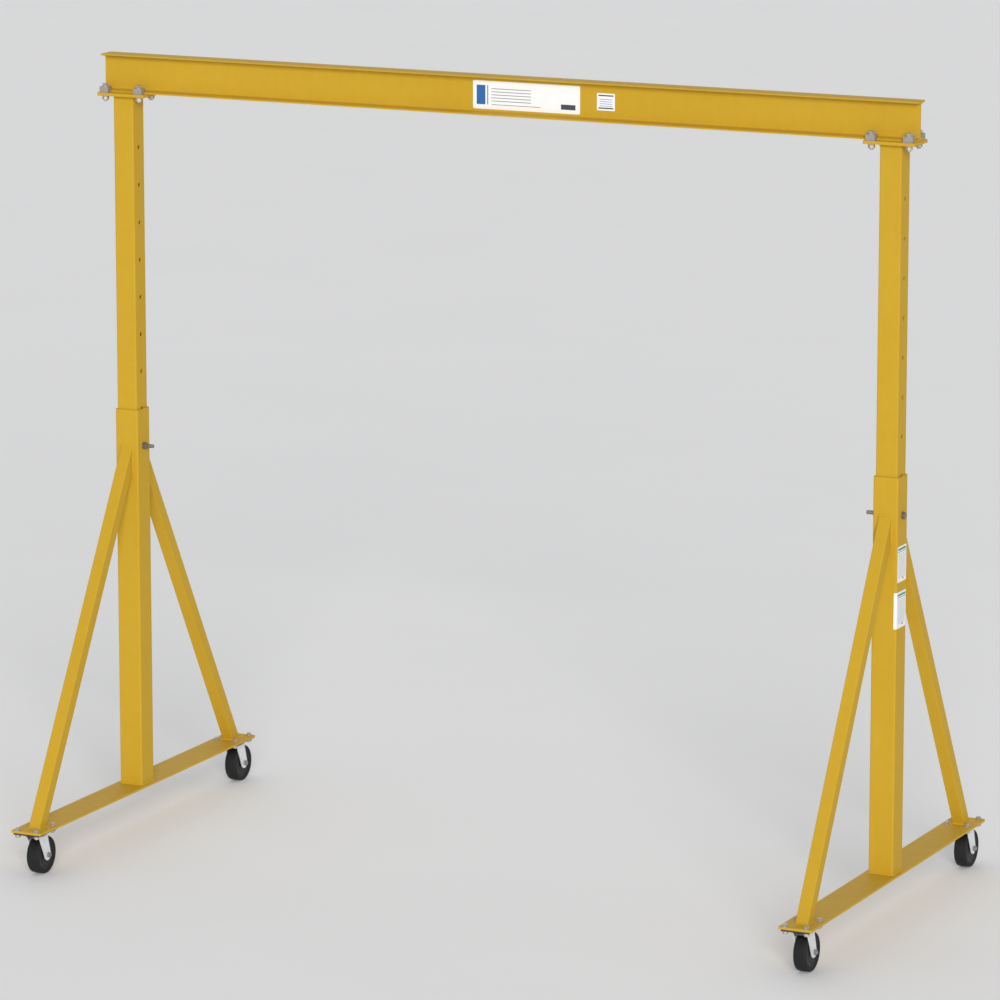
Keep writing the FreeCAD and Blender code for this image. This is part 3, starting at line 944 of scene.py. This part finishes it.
beamLabels = {
    "web": 5.9 * mm,           # thickness of the beam's web, which the film lies on
    "wide": {"middle": 115 * mm, "width": 459 * mm, "height": 111 * mm, "print": "beamLabel"},
    "square": {"middle": 454 * mm, "width": 76 * mm, "height": 67 * mm, "print": "squareLabel"},
}


def labelBeam():
    low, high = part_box("beam")
    level = (low.z + high.z) / 2
    upright = Matrix.Rotation(math.pi / 2, 4, "X")
    for part in ("wide", "square"):
        made = beamLabels[part]
        place = Matrix.Translation((made["middle"], -beamLabels["web"] / 2, level)) @ upright
        layLabel("beam_" + part + "_label", made["print"], "beam", made["width"], made["height"], place)


columnLabels = {
    "upper": {"top": 270 * mm, "height": 140 * mm, "width": 89 * mm, "shift": 0.0},
    "lower": {"top": 448 * mm, "height": 142 * mm, "width": 104 * mm, "shift": -7.5 * mm},
}


def labelColumn():
    low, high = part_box("right_column")
    middle = (low + high) / 2
    half = (high.x - low.x) / 2
    corner = tubeCorner["column"]
    flat = half - corner

    def wrapped(place):
        # past the flat the film follows the tube's rounded corner and then its front
        past = -flat - place.x
        if past <= 0:
            return place
        arc = corner * math.pi / 2
        radius = corner + place.z
        if past < arc:
            angle = past / corner
            return Vector((-flat - radius * math.sin(angle), place.y, radius * math.cos(angle) - corner))
        return Vector((-flat - radius, place.y, -corner - (past - arc)))

    for part in ("upper", "lower"):
        made = columnLabels[part]
        level = high.z - made["top"] - made["height"] / 2
        facingRight = Matrix(((0, 0, 1), (1, 0, 0), (0, 1, 0))).to_4x4()
        place = Matrix.Translation((high.x, middle.y, level)) @ facingRight
        shift = made["shift"]

        def bend(spot, shift=shift):
            return wrapped(spot + Vector((shift, 0, 0)))
        name = "column_" + part + "_label"
        layLabel(name, "plateLabel", "right_frame", made["width"], made["height"], place, bend)


labelBeam()
labelColumn()
print("labels laid")


# floor, light and camera

floorPlate = {
    "half": 150,               # in metres
    "cuts": 24,
    "level": -0.0005,
    "pale": tone(246, 246, 246),
    "shaded": tone(244, 244, 244),
}


def makeFloor():
    finish = Finish("paleFloor", IOR=1.45, Specular_IOR_Level=0.2)
    spot = finish.spot()
    cloud = finish.noise(spot, 1.4, 4)
    grain = finish.noise(spot, 0.004, 2)
    drifted = finish.between(cloud, 0.3, 0.8)
    finish.shade(
        Base_Color=finish.colourMix(drifted, floorPlate["pale"], floorPlate["shaded"]),
        Roughness=0.75 + 0.1 * cloud,
        Normal=finish.relief(grain, 0.0001, 0.2),
    )
    mesh = bmesh.new()
    cuts = floorPlate["cuts"]
    bmesh.ops.create_grid(mesh, x_segments=cuts, y_segments=cuts, size=floorPlate["half"])
    data = bpy.data.meshes.new("studio_floor")
    mesh.to_mesh(data)
    mesh.free()
    floor = bpy.data.objects.new("studio_floor", data)
    bpy.context.scene.collection.objects.link(floor)
    data.materials.append(finish.material)
    floor.location.z = floorPlate["level"]


# spread is the width of a light in degrees, from is the side it comes from
studio = {
    "sky": {"colour": (0.97, 0.98, 1.0, 1), "strength": 0.46},
    "suns": {
        "studio_key": {
            "from": (0.46, -0.83, 0.31), "strength": 2.25, "spread": 24, "colour": (1.0, 0.99, 0.975),
        },
        "studio_back": {
            "from": (-0.35, 0.8, 0.45), "strength": 0.5, "spread": 70, "colour": (0.98, 0.99, 1.0),
        },
    },
}


def lightStudio():
    world = bpy.data.worlds.new("studioSky")
    bpy.context.scene.world = world
    world.use_nodes = True
    backdrop = world.node_tree.nodes["Background"]
    backdrop.inputs["Color"].default_value = studio["sky"]["colour"]
    backdrop.inputs["Strength"].default_value = studio["sky"]["strength"]
    for name, made in studio["suns"].items():
        light = bpy.data.lights.new(name, "SUN")
        light.energy = made["strength"]
        light.angle = math.radians(made["spread"])
        light.color = made["colour"]
        holder = bpy.data.objects.new(name, light)
        bpy.context.scene.collection.objects.link(holder)
        holder.rotation_euler = (-Vector(made["from"])).to_track_quat("-Z", "Y").to_euler()


viewpoint = {
    "place": (9.552, -20.115, 6.0017),
    "down": 11.39,
    "round": 25.401,
    "lens": 207.24,
    "film": 36,
    "far": 400,
}


def setCamera():
    lens = bpy.data.cameras.new("studioCamera")
    lens.lens = viewpoint["lens"]
    lens.sensor_width = viewpoint["film"]
    lens.clip_end = viewpoint["far"]
    camera = bpy.data.objects.new("studioCamera", lens)
    bpy.context.scene.collection.objects.link(camera)
    camera.location = viewpoint["place"]
    camera.rotation_euler = (math.radians(90 - viewpoint["down"]), 0, math.radians(viewpoint["round"]))
    bpy.context.scene.camera = camera


makeFloor()
lightStudio()
setCamera()
bpy.context.scene.view_settings.view_transform = "Standard"
print("studio set")
